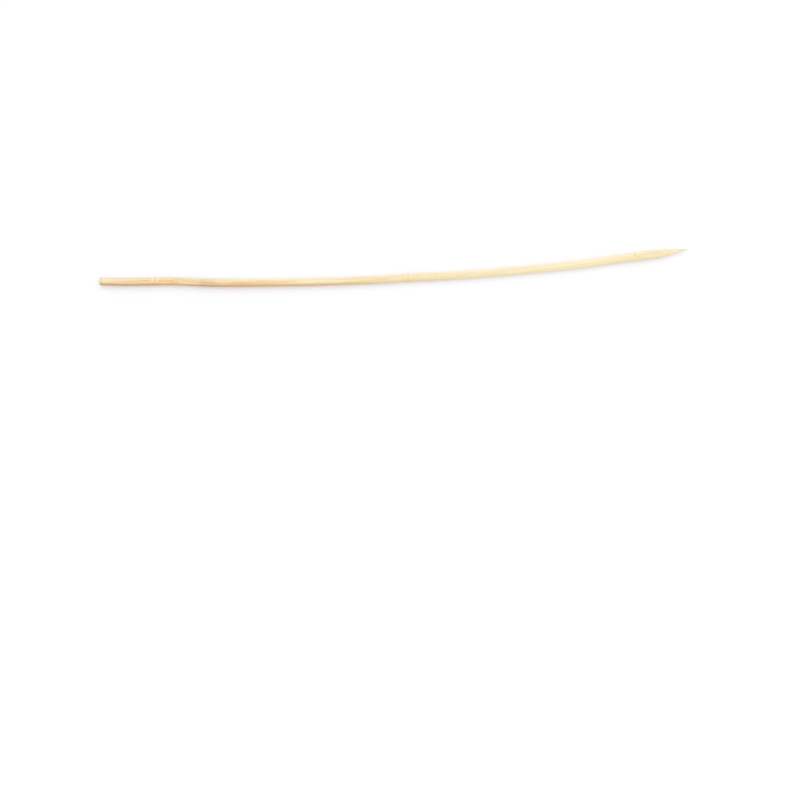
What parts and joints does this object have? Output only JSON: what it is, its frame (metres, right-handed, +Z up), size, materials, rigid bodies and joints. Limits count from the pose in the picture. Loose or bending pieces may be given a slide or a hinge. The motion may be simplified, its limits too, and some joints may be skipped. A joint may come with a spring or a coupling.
{
  "type": "bamboo skewer",
  "caption": "Round bamboo skewer, lying flat: a slightly bowed stick with swollen knots, sawn square at the butt and ground to a sharp conical point.",
  "frame": {"origin": "on the table, under the middle of the lying stick", "axes": "+X along the stick from the butt to the point, +Z up from the table, with the bow bulging towards -Y"},
  "size_m": [0.3002, 0.0108, 0.0045],
  "materials": {
    "bamboo": "satin"
  },
  "bodies": {
    "root": {"skewer": "bamboo"}
  },
  "joints": []
}
